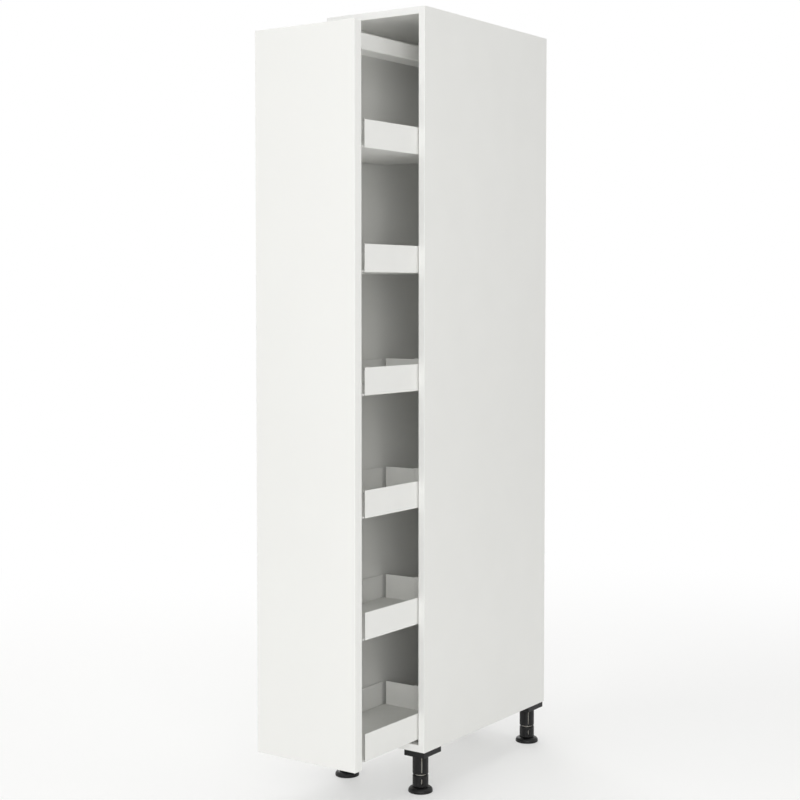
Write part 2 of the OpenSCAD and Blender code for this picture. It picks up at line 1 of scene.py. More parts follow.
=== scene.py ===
"""Looks of a pull out larder unit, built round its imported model.

A white cabinet stands on four black legs. Its door carries a steel frame with six hook-in
baskets. Lengths are millimetres, and a mesh turns them to metres when it is made.
"""

import json
import logging
import math
from collections.abc import Iterable, Sequence
from dataclasses import dataclass
from enum import Enum
from typing import Any

import bmesh
import bpy
import numpy as np
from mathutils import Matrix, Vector


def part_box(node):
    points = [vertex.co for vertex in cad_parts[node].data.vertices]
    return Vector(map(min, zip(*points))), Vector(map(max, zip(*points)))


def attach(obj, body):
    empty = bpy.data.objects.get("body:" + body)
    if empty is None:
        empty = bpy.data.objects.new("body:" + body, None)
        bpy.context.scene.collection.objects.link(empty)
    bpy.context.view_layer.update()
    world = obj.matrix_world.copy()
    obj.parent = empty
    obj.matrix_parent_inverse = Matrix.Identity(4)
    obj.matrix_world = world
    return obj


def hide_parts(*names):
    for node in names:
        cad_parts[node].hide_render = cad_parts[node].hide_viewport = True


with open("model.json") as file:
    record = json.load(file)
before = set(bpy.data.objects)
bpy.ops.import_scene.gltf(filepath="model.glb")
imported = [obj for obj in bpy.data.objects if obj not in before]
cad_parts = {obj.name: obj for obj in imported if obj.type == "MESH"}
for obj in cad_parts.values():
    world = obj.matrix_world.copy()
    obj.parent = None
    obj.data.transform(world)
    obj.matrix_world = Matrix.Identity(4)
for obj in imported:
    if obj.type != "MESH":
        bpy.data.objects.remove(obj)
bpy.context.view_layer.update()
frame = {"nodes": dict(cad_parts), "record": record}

LOG = logging.getLogger("larder_unit")
MM = 0.001
BODY_OF = {node: body for body, nodes in frame["record"]["behaviour"]["bodies"].items() for node in nodes}
CORNERS = ("front_left", "front_right", "rear_left", "rear_right")
BASKETS = 6
QUARTER = math.pi / 2
# Step that keeps two rows of points apart where a rounding ends, in mm.
HAIR = 0.1


class Facing(Enum):
    """Where a shape's own X, Y and Z axes point once it is in its place."""

    UP = ((1, 0, 0), (0, 1, 0), (0, 0, 1))
    UP_TURNED = ((1, 0, 0), (0, -1, 0), (0, 0, 1))
    DOWN = ((1, 0, 0), (0, -1, 0), (0, 0, -1))
    BACK = ((1, 0, 0), (0, 0, 1), (0, 1, 0))
    BACK_TURNED = ((1, 0, 0), (0, 0, -1), (0, 1, 0))
    FRONT = ((1, 0, 0), (0, 0, 1), (0, -1, 0))
    RIGHT = ((0, 1, 0), (0, 0, 1), (1, 0, 0))
    LEFT = ((0, 1, 0), (0, 0, 1), (-1, 0, 0))


class Pattern(Enum):
    """The relief that the making of a surface leaves on it."""

    PEARL = "pressed pearl texture of melamine paper"
    ORANGE_PEEL = "long soft waves of sprayed lacquer"
    POWDER = "tight pimples of baked powder paint"
    ROLLED = "fine lines along the rolling direction"
    SPANGLE = "flat zinc crystals"
    MOULDED = "spark-eroded grain of a mould"
    GRAIN = "wood fibres along X"


# ---------------------------------------------------------------- finishes

# Clouds: the detail of their noise, and the values that it keeps between.
CLOUD_DETAIL, CLOUD_LOW, CLOUD_HIGH = 3.0, 0.2, 0.8
# Relief: how much slower its noise runs along rolled lines and wood fibres, and its detail.
STRETCH = {Pattern.ROLLED: (1.0, 0.02, 1.0), Pattern.GRAIN: (0.06, 1.0, 1.0)}
FINE_DETAIL, DETAIL = 4.0, {Pattern.ORANGE_PEEL: 0.0, Pattern.PEARL: 2.0}
# Tone: its share in a line, which runs between two noise values, and in a zinc crystal.
LINE_LOW, LINE_HIGH, LINE_SHARE, CRYSTAL_SHARE = 0.4, 0.65, 0.7, 0.6
# Nylon: how deep red, green and blue light reach in metres, and how much of that is used.
SOFT_REACH, SOFT_SCALE = (0.004, 0.0035, 0.003), 0.5
COAT_ROUGHNESS = 0.12


def linear(code: str) -> tuple[float, float, float, float]:
    """Turns an sRGB hex colour into linear red, green, blue and alpha.

    Args:
        code: Colour such as "#F2F2EF".

    Returns:
        Four numbers from 0 to 1.
    """
    parts = (int(code[i : i + 2], 16) / 255 for i in (1, 3, 5))
    return (*(c / 12.92 if c <= 0.04045 else ((c + 0.055) / 1.055) ** 2.4 for c in parts), 1.0)


def emptied(owner: bpy.types.Material | bpy.types.World) -> bpy.types.NodeTree:
    """Returns the node tree of a new material or world, without its first nodes."""
    owner.use_nodes = True
    owner.node_tree.nodes.clear()
    return owner.node_tree


def add(tree: bpy.types.NodeTree, kind: str, links: dict[Any, Any] | None = None,
        **settings: Any) -> bpy.types.NodeOutputs:
    """Adds one node with its settings, values and links.

    Args:
        tree: Node tree that gets the node.
        kind: Blender's name for the kind of node, after "ShaderNode".
        links: Input by name or number, to a socket that feeds it or to its value.
        **settings: Properties of the node itself.

    Returns:
        The new node's outputs.
    """
    node = tree.nodes.new(f"ShaderNode{kind}")
    for key, value in settings.items():
        setattr(node, key, value)
    for key, value in (links or {}).items():
        if isinstance(value, bpy.types.NodeSocket):
            tree.links.new(value, node.inputs[key])
        else:
            node.inputs[key].default_value = value
    return node.outputs


@dataclass(frozen=True)
class EdgeBand:
    """A glued edge band at a board's front plane, and the hair joint behind it."""

    plane: float
    thick: float = 1.0
    joint: float = 0.35
    colour: str = "#F6F6F4"
    joint_colour: str = "#B9B7B1"


@dataclass(frozen=True)
class Finish:
    """A real material and how its surface was made.

    Attributes:
        name: Name of the material.
        slot: The record's material slot that it belongs to; not used.
        colour: Main colour, sRGB hex.
        tone: Colour that the main one drifts to in soft clouds, sRGB hex.
        cloud: Size of those clouds in mm.
        roughness: Middle roughness.
        spread: How far roughness drifts with the clouds.
        pattern: Kind of relief.
        pitch: Size of the relief's features in mm.
        depth: Height of the relief in mm.
        metallic: 1 for bare metal.
        coat: Weight of a clear layer.
        soft: Weight of the light that sinks in, for nylon and silicone.
        specular: Strength of the surface's own reflection.
        band: Edge band, for boards.
    """

    name: str
    slot: str
    colour: str
    tone: str
    cloud: float
    roughness: float
    spread: float
    pattern: Pattern
    pitch: float
    depth: float
    metallic: float = 0.0
    coat: float = 0.0
    soft: float = 0.0
    specular: float = 0.5
    band: EdgeBand | None = None

    def material(self) -> bpy.types.Material:
        """Returns the finish's Blender material, made on first use."""
        found = bpy.data.materials.get(self.name)
        if found:
            return found
        made = bpy.data.materials.new(self.name)
        made.diffuse_color = linear(self.colour)
        tree = emptied(made)
        place = add(tree, "TexCoord")["Object"]
        in_mm = add(tree, "Mapping", {"Vector": place, "Scale": (1 / MM,) * 3})[0]
        clouds = {"Vector": in_mm, "Scale": 1 / self.cloud, "Detail": CLOUD_DETAIL}
        cloud = add(tree, "TexNoise", clouds)[0]
        colour = self._toned(tree, cloud, linear(self.colour))
        low, high = self.roughness - self.spread, self.roughness + self.spread
        rough = add(tree, "MapRange", {0: cloud, 1: CLOUD_LOW, 2: CLOUD_HIGH, 3: low, 4: high},
                    interpolation_type="SMOOTHSTEP")
        height, colour = self._relief(tree, in_mm, colour)
        if self.band:
            colour = self._banded(tree, in_mm, colour)
        bump = add(tree, "Bump", {"Height": height, "Distance": self.depth * MM})
        sockets: dict[Any, Any] = {"Base Color": colour, "Roughness": rough[0],
                                   "Normal": bump[0], "Metallic": self.metallic,
                                   "Specular IOR Level": self.specular}
        if self.coat:
            sockets |= {"Coat Weight": self.coat, "Coat Roughness": COAT_ROUGHNESS}
        if self.soft:
            sockets |= {"Subsurface Weight": self.soft, "Subsurface Radius": SOFT_REACH,
                        "Subsurface Scale": SOFT_SCALE}
        shader = add(tree, "BsdfPrincipled", sockets)
        add(tree, "OutputMaterial", {"Surface": shader[0]})
        return made

    def _toned(self, tree: bpy.types.NodeTree, share: Any, colour: Any) -> Any:
        """Returns the colour, mixed with the finish's tone by a share."""
        colours = {0: share, 6: colour, 7: linear(self.tone)}
        return add(tree, "Mix", colours, data_type="RGBA")[2]

    def _relief(self, tree: bpy.types.NodeTree, in_mm: Any, colour: Any) -> tuple[Any, Any]:
        """Adds the pattern's nodes.

        Args:
            tree: The material's node tree.
            in_mm: Object coordinates in millimetres.
            colour: Colour so far.

        Returns:
            The height for the bump, and the colour with what the pattern adds to it.
        """
        if self.pattern in (Pattern.POWDER, Pattern.SPANGLE):
            cells = add(tree, "TexVoronoi", {"Vector": in_mm, "Scale": 1 / self.pitch})
            if self.pattern is Pattern.POWDER:
                return cells["Distance"], colour
            grey = add(tree, "SeparateColor", {0: cells["Color"]})[0]
            share = add(tree, "MapRange", {0: grey, 4: CRYSTAL_SHARE})[0]
            return grey, self._toned(tree, share, colour)
        stretch = STRETCH.get(self.pattern, (1.0,) * 3)
        along = add(tree, "Mapping", {"Vector": in_mm, "Scale": stretch})[0]
        detail = DETAIL.get(self.pattern, FINE_DETAIL)
        noise = {"Vector": along, "Scale": 1 / self.pitch, "Detail": detail}
        height = add(tree, "TexNoise", noise)[0]
        if self.pattern in STRETCH:
            lines = {0: height, 1: LINE_LOW, 2: LINE_HIGH, 4: LINE_SHARE}
            colour = self._toned(tree, add(tree, "MapRange", lines)[0], colour)
        return height, colour

    def _banded(self, tree: bpy.types.NodeTree, in_mm: Any, colour: Any) -> Any:
        """Returns the colour with the edge band and its joint, by the distance behind the front plane."""
        depth = add(tree, "SeparateXYZ", {0: in_mm})[1]
        past = add(tree, "Math", {0: depth, 1: self.band.plane}, operation="SUBTRACT")[0]
        joint_end = self.band.thick + self.band.joint
        for limit, code in ((joint_end, self.band.joint_colour), (self.band.thick, self.band.colour)):
            inside = add(tree, "Math", {0: past, 1: limit}, operation="LESS_THAN")[0]
            colours = {0: inside, 6: colour, 7: linear(code)}
            colour = add(tree, "Mix", colours, data_type="RGBA")[2]
        return colour


FRONT_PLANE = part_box("side_panel_left")[0].y / MM

# Melamine-faced chipboard: a matt white paper face with a pressed pearl texture of about 1 mm,
# drawn at 1.6 mm so that it shows. Its front edge has a 1 mm ABS band in a brighter white.
MELAMINE = Finish("white_melamine_chipboard", "white_board", "#F3F3F0", "#F0F0ED", 90, 0.44, 0.05,
                  Pattern.PEARL, 1.6, 0.035, band=EdgeBand(FRONT_PLANE))
# Lacquered fibreboard of the back: flatter and a little greyer than the melamine.
BACK_BOARD = Finish("white_lacquered_hardboard", "white_back_board", "#EEEEEA", "#EAEAE6", 70, 0.55, 0.05,
                    Pattern.PEARL, 0.9, 0.03)
# Sprayed satin lacquer on fibreboard: long soft waves of some 4 mm under an even sheen.
DOOR_LACQUER = Finish("satin_white_lacquer", "white_door", "#F3F3F0", "#F1F1EE", 200, 0.30, 0.015,
                      Pattern.ORANGE_PEEL, 4.0, 0.02, coat=0.15)
# Melamine of the basket bases: a fine grip texture, light grey-white.
BASE_MELAMINE = Finish("grip_texture_melamine", "white_base_board", "#E6E6E3", "#E1E1DD", 30, 0.50, 0.05,
                       Pattern.POWDER, 2.2, 0.10)
# Baked powder paint on steel: tight pimples of about 0.8 mm, drawn at 1.1 mm, with a soft gloss.
POWDER_PAINT = Finish("white_powder_coat", "white_steel", "#F3F3F0", "#EFEFEC", 40, 0.36, 0.04,
                      Pattern.POWDER, 1.1, 0.05)
# Zinc-plated steel: bright grey with a faint cool film, finely crystalline.
ZINC = Finish("zinc_plated_steel", "zinc_steel", "#C3C6C9", "#A9ADB3", 8, 0.30, 0.07,
              Pattern.SPANGLE, 2.5, 0.01, metallic=1.0)
# Cold-rolled runner steel: lines along its length, 0.4 mm apart.
RUNNER_STEEL = Finish("cold_rolled_steel", "runner_steel", "#CBCDCF", "#B4B7BA", 25, 0.40, 0.05,
                      Pattern.ROLLED, 0.4, 0.01, metallic=1.0)
# Beech dowels: pale brown with short darker flecks along the fibres.
BEECH = Finish("beech_wood", "beech", "#DDBD8E", "#B98F5B", 20, 0.60, 0.06, Pattern.GRAIN, 0.8, 0.08)
# Moulded polypropylene: deep black with a satin skin from a spark-eroded mould.
BLACK_PLASTIC = Finish("black_polypropylene", "black_plastic", "#0E0E0F", "#141415", 12, 0.42, 0.06,
                       Pattern.MOULDED, 0.6, 0.04, specular=0.3)
# Natural polyamide: milky, waxy and a little see-through.
NYLON = Finish("natural_polyamide", "natural_nylon", "#EDEAE1", "#E2DED2", 10, 0.34, 0.05,
               Pattern.MOULDED, 1.2, 0.02, soft=0.15)


# ---------------------------------------------------------------- surfaces


@dataclass
class Surface:
    """Faces between points, in millimetres.

    Attributes:
        points: Places of the points, one row each.
        corners: Point numbers of all faces, one face after another.
        sizes: How many corners each face has.
    """

    points: np.ndarray
    corners: np.ndarray
    sizes: np.ndarray

    @classmethod
    def grid(cls, points: np.ndarray, ring: bool = True, loop: bool = False, caps: bool = False,
             keep: np.ndarray | None = None) -> "Surface":
        """Joins the points of a grid with four-cornered faces that look along columns x rows.

        Args:
            points: Points by row and column.
            ring: The last column meets the first.
            loop: The last row meets the first.
            caps: The first and last rows are closed with one face each.
            keep: True for each cell that has a face; all by default.

        Returns:
            The surface, without the points that no face uses.
        """
        rows, columns = points.shape[:2]
        index = np.arange(rows * columns).reshape(rows, columns)
        ends = [index[0][::-1], index[-1]]
        index = np.concatenate([index, index[:, :1]], 1) if ring else index
        index = np.concatenate([index, index[:1]], 0) if loop else index
        cells = cells_of(index)
        cells = cells.reshape(-1, 4) if keep is None else cells[keep]
        corners = np.concatenate([cells.ravel(), *(ends if caps else [])])
        sizes = np.array([4] * len(cells) + [columns] * (2 * caps))
        used, corners = np.unique(corners, return_inverse=True)
        return cls(points.reshape(-1, 3)[used], corners.ravel(), sizes)

    def placed(self, origin: Sequence[float], facing: Facing = Facing.UP) -> "Surface":
        """Returns the surface with its origin at a place and its axes turned, its faces still outwards."""
        turn = np.array(facing.value, float)
        order = slice(None, None, -1 if np.linalg.det(turn) < 0 else 1)
        return Surface(self.points @ turn + np.asarray(origin, float), self.corners[order], self.sizes[order])


def cells_of(index: np.ndarray) -> np.ndarray:
    """Returns the four corners of each cell between a grid's points."""
    return np.stack([index[:-1, :-1], index[:-1, 1:], index[1:, 1:], index[1:, :-1]], -1)


def joined(parts: Iterable[Surface]) -> Surface:
    """Returns several surfaces as one, still apart."""
    parts = list(parts)
    starts = np.cumsum([0] + [len(p.points) for p in parts[:-1]])
    return Surface(np.concatenate([p.points for p in parts]),
                   np.concatenate([p.corners + s for p, s in zip(parts, starts)]),
                   np.concatenate([p.sizes for p in parts]))


def around(columns: int) -> np.ndarray:
    """Returns the angles of points that are spread evenly round an axis."""
    return np.arange(columns) * 2 * math.pi / columns


def thread(z: np.ndarray, pitch: float, swing: float, columns: int) -> np.ndarray:
    """Returns what a thread adds to the radius, never above 0: a wave along z / pitch - u / turn."""
    return -swing * (1 + np.cos(2 * math.pi * z / pitch - around(columns)))


def drawn_out(outline: np.ndarray, heights: np.ndarray) -> Surface:
    """Stacks outlines in XY at rising heights: the same one for all, or one each. Both ends are closed."""
    flat = np.broadcast_to(outline, (len(heights), *outline.shape[-2:]))
    z = np.broadcast_to(heights[:, None, None], (*flat.shape[:2], 1))
    return Surface.grid(np.concatenate([flat, z], 2), caps=True)


def round_slab(size: Sequence[float], edge: float, corner: float = 0.0) -> Surface:
    """Makes a plate whose every edge is a quarter circle.

    Ring v lies edge x (1 - sin a) inside the outline and edge x (1 - cos a) above the plate's
    underside, for a from 0 to 90 degrees, and the same again below its top. Along u a ring is
    a rectangle with round corners, whose centres stay while the radius shrinks by the inset.

    Args:
        size: Length along X, Y and Z.
        edge: Radius of the edges.
        corner: Radius of the four corners in plan.

    Returns:
        The plate, standing on Z = 0 and centred on the Z axis.
    """
    a = np.linspace(0, QUARTER, 4)
    inset = np.concatenate([edge * (1 - np.sin(a)), edge * (1 - np.sin(a[::-1]))])
    height = np.concatenate([edge * (1 - np.cos(a)), size[2] - edge * (1 - np.cos(a[::-1]))])
    reach = max(corner, edge + HAIR)
    u = (np.arange(4)[:, None] * QUARTER + a).ravel()
    side = np.repeat(np.array([(1, 1), (-1, 1), (-1, -1), (1, -1)]), len(a), 0)
    centre = side * (np.asarray(size[:2]) / 2 - reach)
    return drawn_out(centre + (reach - inset)[:, None, None] * np.stack([np.cos(u), np.sin(u)], 1), height)


def turned(profile: Sequence[tuple[float, float]] | np.ndarray, columns: int = 32, loop: bool = False,
           ripple: np.ndarray | float = 0.0) -> Surface:
    """Turns a profile round Z: point (v, u) is (r cos u, r sin u, z), with a ripple added to r.

    Args:
        profile: Radius and height of each row, outside upwards.
        columns: Points round the axis.
        loop: The profile closes on itself, as for a ring.
        ripple: Added to the radius, by row and column.

    Returns:
        The turned surface, closed at both ends unless it is a ring.
    """
    r, z = np.asarray(profile, float).T
    u = around(columns)
    r = r[:, None] + ripple + 0 * u
    points = np.stack([r * np.cos(u), r * np.sin(u), z[:, None] + 0 * u], -1)
    return Surface.grid(points, loop=loop, caps=not loop)


def bent_line(line: Sequence[tuple[float, float]], radius: float) -> tuple[np.ndarray, np.ndarray]:
    """Rounds the corners of a line. At each one the point runs on a circle that touches both legs.

    Args:
        line: Corners of the line.
        radius: Radius of each rounding.

    Returns:
        The points, and the direction to the left of the line at each.
    """
    line = np.asarray(line, float)
    step = np.diff(line, axis=0)
    step /= np.linalg.norm(step, axis=1)[:, None]
    left = np.stack([-step[:, 1], step[:, 0]], 1)
    cross = step[:-1, 0] * step[1:, 1] - step[:-1, 1] * step[1:, 0]
    turn = np.arctan2(cross, (step[:-1] * step[1:]).sum(1))
    angle = turn[:, None] * np.linspace(0, 1, 5)
    normal = np.stack([left[:-1, None, 0] * np.cos(angle) - left[:-1, None, 1] * np.sin(angle),
                       left[:-1, None, 0] * np.sin(angle) + left[:-1, None, 1] * np.cos(angle)], -1)
    way = np.sign(turn)[:, None] * radius
    centre = line[1:-1] - step[:-1] * (radius * np.tan(np.abs(turn) / 2))[:, None] + left[:-1] * way
    points = centre[:, None] - way[:, None] * normal
    return (np.concatenate([line[:1], points.reshape(-1, 2), line[-1:]]),
            np.concatenate([left[:1], normal.reshape(-1, 2), left[-1:]]))


def channel(width: float, depth: float, sheet: float, lip: float, length: float, radius: float) -> Surface:
    """Folds a channel: a bent line offset half a sheet to each side, carried along Z.

    Args:
        width: Outer width along X.
        depth: Outer depth along Y, from the web at Y = 0.
        sheet: Thickness of the sheet.
        lip: How far each inward lip reaches from the outer face, or 0 for none.
        length: Length along Z.
        radius: Radius of the bends at the middle of the sheet.

    Returns:
        The channel, open towards +Y.
    """
    x, low, high = (width - sheet) / 2, sheet / 2, depth - sheet / 2
    line = [(-x, high if lip else depth), (-x, low), (x, low), (x, high if lip else depth)]
    if lip:
        line = [(lip - width / 2, high), *line, (width / 2 - lip, high)]
    middle, left = bent_line(line, radius)
    outline = np.concatenate([middle - left * sheet / 2, (middle + left * sheet / 2)[::-1]])
    return drawn_out(outline, np.array([0, length], float))


# ---------------------------------------------------------------- pieces

# An edge that turns by more than SHARP looks sharp, and one by more than CORNER is a corner
# to round. Faces that turn by less than FLAT are one face. WELD is in mm.
SHARP, CORNER, FLAT, WELD = math.radians(35), math.radians(60), math.radians(0.5), 0.002


@dataclass(frozen=True)
class Extent:
    """The box round a piece in millimetres, from its lowest to its highest corner."""

    low: np.ndarray
    high: np.ndarray

    @classmethod
    def of_node(cls, node: str) -> "Extent":
        """Returns a CAD node's box."""
        return cls(*(np.array(corner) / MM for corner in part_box(node)))

    @classmethod
    def of_points(cls, cloud: np.ndarray) -> "Extent":
        """Returns the box round some points."""
        return cls(cloud.min(0), cloud.max(0))

    @property
    def size(self) -> np.ndarray:
        """Returns the length along X, Y and Z."""
        return self.high - self.low

    def at(self, **known: float) -> np.ndarray:
        """Returns the middle of the box, moved to an x, y or z where one is given."""
        place = (self.low + self.high) / 2
        for axis, value in known.items():
            place["xyz".index(axis)] = value
        return place


def linked(name: str, data: bpy.types.ID) -> bpy.types.Object:
    """Makes an object of a mesh, a lamp or a camera and puts it into the scene."""
    made = bpy.data.objects.new(name, data)
    bpy.context.scene.collection.objects.link(made)
    return made


def mesh_of(name: str, surface: Surface) -> bpy.types.Mesh:
    """Returns a mesh with a surface's points and faces, in metres."""
    mesh = bpy.data.meshes.new(name)
    mesh.vertices.add(len(surface.points))
    mesh.vertices.foreach_set("co", (surface.points * MM).astype(np.float32).ravel())
    mesh.loops.add(len(surface.corners))
    mesh.loops.foreach_set("vertex_index", surface.corners.astype(np.int32))
    mesh.polygons.add(len(surface.sizes))
    mesh.polygons.foreach_set("loop_start", (np.cumsum(surface.sizes) - surface.sizes).astype(np.int32))
    mesh.update(calc_edges=True)
    mesh.validate()
    return mesh


def publish(piece: bpy.types.Object, finish: Finish, *nodes: str) -> None:
    """Shades and dresses a new piece, sets it on the body of the nodes it stands for, and reports it."""
    piece.data.shade_smooth()
    piece.data.set_sharp_from_angle(angle=SHARP)
    piece.modifiers.new("level_faces", "WEIGHTED_NORMAL").keep_sharp = True
    piece.data.materials.clear()
    piece.data.materials.append(finish.material())
    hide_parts(*nodes)
    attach(piece, BODY_OF[nodes[0]])
    LOG.info("%s stands for %s", piece.name, ", ".join(nodes))


def build(name: str, surface: Surface, finish: Finish, *nodes: str, sheet: float = 0.0) -> None:
    """Makes a piece of a surface.

    Args:
        name: Name of the piece.
        surface: Its surface in millimetres.
        finish: Its finish.
        *nodes: CAD nodes that it stands for.
        sheet: Thickness that an open surface gets, half to each side.
    """
    piece = linked(name, mesh_of(name, surface))
    if sheet:
        wall = piece.modifiers.new("sheet", "SOLIDIFY")
        wall.thickness, wall.offset, wall.use_even_offset = sheet * MM, 0.0, True
    publish(piece, finish, *nodes)


def eased(name: str, node: str, finish: Finish, edge: float, longer: float = 10.0) -> None:
    """Copies a CAD node, joins its loose triangles and rounds its long outer edges.

    Args:
        name: Name of the piece.
        node: CAD node that it stands for.
        finish: Its finish.
        edge: Radius of the rounded edges in mm.
        longer: Only straight edges longer than this many mm are rounded.
    """
    mesh = frame["nodes"][node].data.copy()
    mesh.name = name
    shape = bmesh.new()
    shape.from_mesh(mesh)
    bmesh.ops.remove_doubles(shape, verts=shape.verts, dist=WELD * MM)
    bmesh.ops.dissolve_limit(shape, angle_limit=FLAT, verts=shape.verts, edges=shape.edges)
    layers = shape.edges.layers.float
    weight = layers.get("bevel_weight_edge") or layers.new("bevel_weight_edge")
    for line in shape.edges:
        outer = len(line.link_faces) == 2 and line.is_convex and line.calc_face_angle() > CORNER
        line[weight] = float(outer and line.calc_length() > longer * MM)
    shape.to_mesh(mesh)
    shape.free()
    piece = linked(name, mesh)
    bevel = piece.modifiers.new("eased_edges", "BEVEL")
    bevel.width, bevel.segments, bevel.limit_method = edge * MM, 2, "WEIGHT"
    bevel.use_clamp_overlap = False
    publish(piece, finish, node)


def dress(node: str, finish: Finish) -> None:
    """Gives a CAD node that stays in view its finish."""
    shown = frame["nodes"][node]
    if not shown.data.materials:
        shown.data.materials.append(None)
    for place in shown.material_slots:
        place.material = finish.material()
    LOG.info("%s is shown as %s", node, finish.name)


def solids_of(node: str) -> list[np.ndarray]:
    """Finds the separate solids of a CAD node.

    Points within 0.01 mm are one. Each takes the lowest number among its neighbours, over and
    over, until no number changes; a solid is then the points that share a number.

    Args:
        node: Name of the node.

    Returns:
        The points of each solid in millimetres.
    """
    mesh = frame["nodes"][node].data
    points = np.empty(len(mesh.vertices) * 3, np.float32)
    mesh.vertices.foreach_get("co", points)
    points = points.reshape(-1, 3).astype(float) / MM
    lines = np.empty(len(mesh.edges) * 2, np.int32)
    mesh.edges.foreach_get("vertices", lines)
    label = np.unique(points.round(2), axis=0, return_inverse=True)[1].ravel()
    a, b = label[lines.reshape(-1, 2)].T
    group, before = np.arange(label.max() + 1), None
    while before is None or (group != before).any():
        before = group.copy()
        low = np.minimum(group[a], group[b])
        np.minimum.at(group, a, low)
        np.minimum.at(group, b, low)
        group = group[group]
    return [points[group[label] == g] for g in np.unique(group)]


def cross_screw(radius: float, length: float, head: float, shank: float, pitch: float,
                sunk: bool = False, columns: int = 24) -> Surface:
    """Makes a cross-recess screw along +Z with the face of its head at Z = 0.

    Over the face, the depth at (r, u) is a ramp of the smaller of |r cos u| and |r sin u|,
    which draws two crossed arms, times a ramp that ends them before the rim.

    Args:
        radius: Radius of the head.
        length: Whole length.
        head: Height of the head.
        shank: Radius of the shank.
        pitch: Distance between turns of the thread.
        sunk: The head is a countersunk cone.
        columns: Points round the axis.

    Returns:
        The closed surface of the screw.
    """
    u = around(columns)
    arm, arm_end, fade, recess = 0.11 * radius, 0.66 * radius, 0.2 * radius, 0.65 * head
    tip, swing = 0.5, 0.11 * pitch
    face = radius * np.array([0.07, 0.2, 0.32, 0.44, 0.56, 0.66, 0.9])
    across = np.minimum(np.abs(face[:, None] * np.cos(u)), np.abs(face[:, None] * np.sin(u)))
    deep = np.clip((2 * arm - across) / arm, 0, 1) * np.clip((arm_end - face) / fade, 0, 1)[:, None]
    if sunk:
        rim = [(radius, 0.02), (radius, 0.15)]
    else:
        rim = [(0.97 * radius, 0.05 * head), (radius, 0.3 * head), (radius, head)]
    turns = np.arange(head + 0.3, length - tip - HAIR, pitch / 4)
    rows = np.concatenate([np.stack([face, 0 * face], 1), rim, [(shank, head)],
                           np.stack([0 * turns + shank, turns], 1),
                           [(shank, length - tip), (0.7 * shank, length)]])
    r = rows[:, :1] + 0 * u
    z = rows[:, 1:] + 0 * u
    z[: len(face)] += recess * deep
    first = len(face) + len(rim) + 1
    wound = slice(first, first + len(turns))
    r[wound] += thread(z[wound], pitch, swing, columns)
    return Surface.grid(np.stack([r * np.cos(u), r * np.sin(u), z], -1), caps=True)


def screws_of(node: str, head: float, pitch: float, sunk: bool = False) -> Surface:
    """Makes a screw for each solid of a node.

    A solid's axis is the one size that differs from the other two, and its head sits at the
    end where its points reach furthest from that axis. The shank is half as wide.

    Args:
        node: Name of the node.
        head: Height of the heads.
        pitch: Distance between turns of the threads.
        sunk: The heads are countersunk cones.

    Returns:
        All of the node's screws.
    """
    screws = []
    for cloud in solids_of(node):
        box = Extent.of_points(cloud)
        start, size = box.at(), box.size
        axis = int(np.argmax(np.abs(size - np.median(size))))
        reach = np.linalg.norm(np.delete(cloud - start, axis, 1), axis=1)
        low, high = (reach[np.abs(cloud[:, axis] - end[axis]) < HAIR].max() for end in (box.low, box.high))
        rising = bool(low >= high)
        start[axis] = (box.low if rising else box.high)[axis]
        ways = ((Facing.LEFT, Facing.RIGHT), (Facing.FRONT, Facing.BACK), (Facing.DOWN, Facing.UP))
        radius, length = max(low, high), size[axis]
        screw = cross_screw(radius, length, min(head, 0.4 * length), 0.5 * radius, pitch, sunk)
        screws.append(screw.placed(start, ways[axis][rising]))
    return joined(screws)


# ---------------------------------------------------------------- cabinet


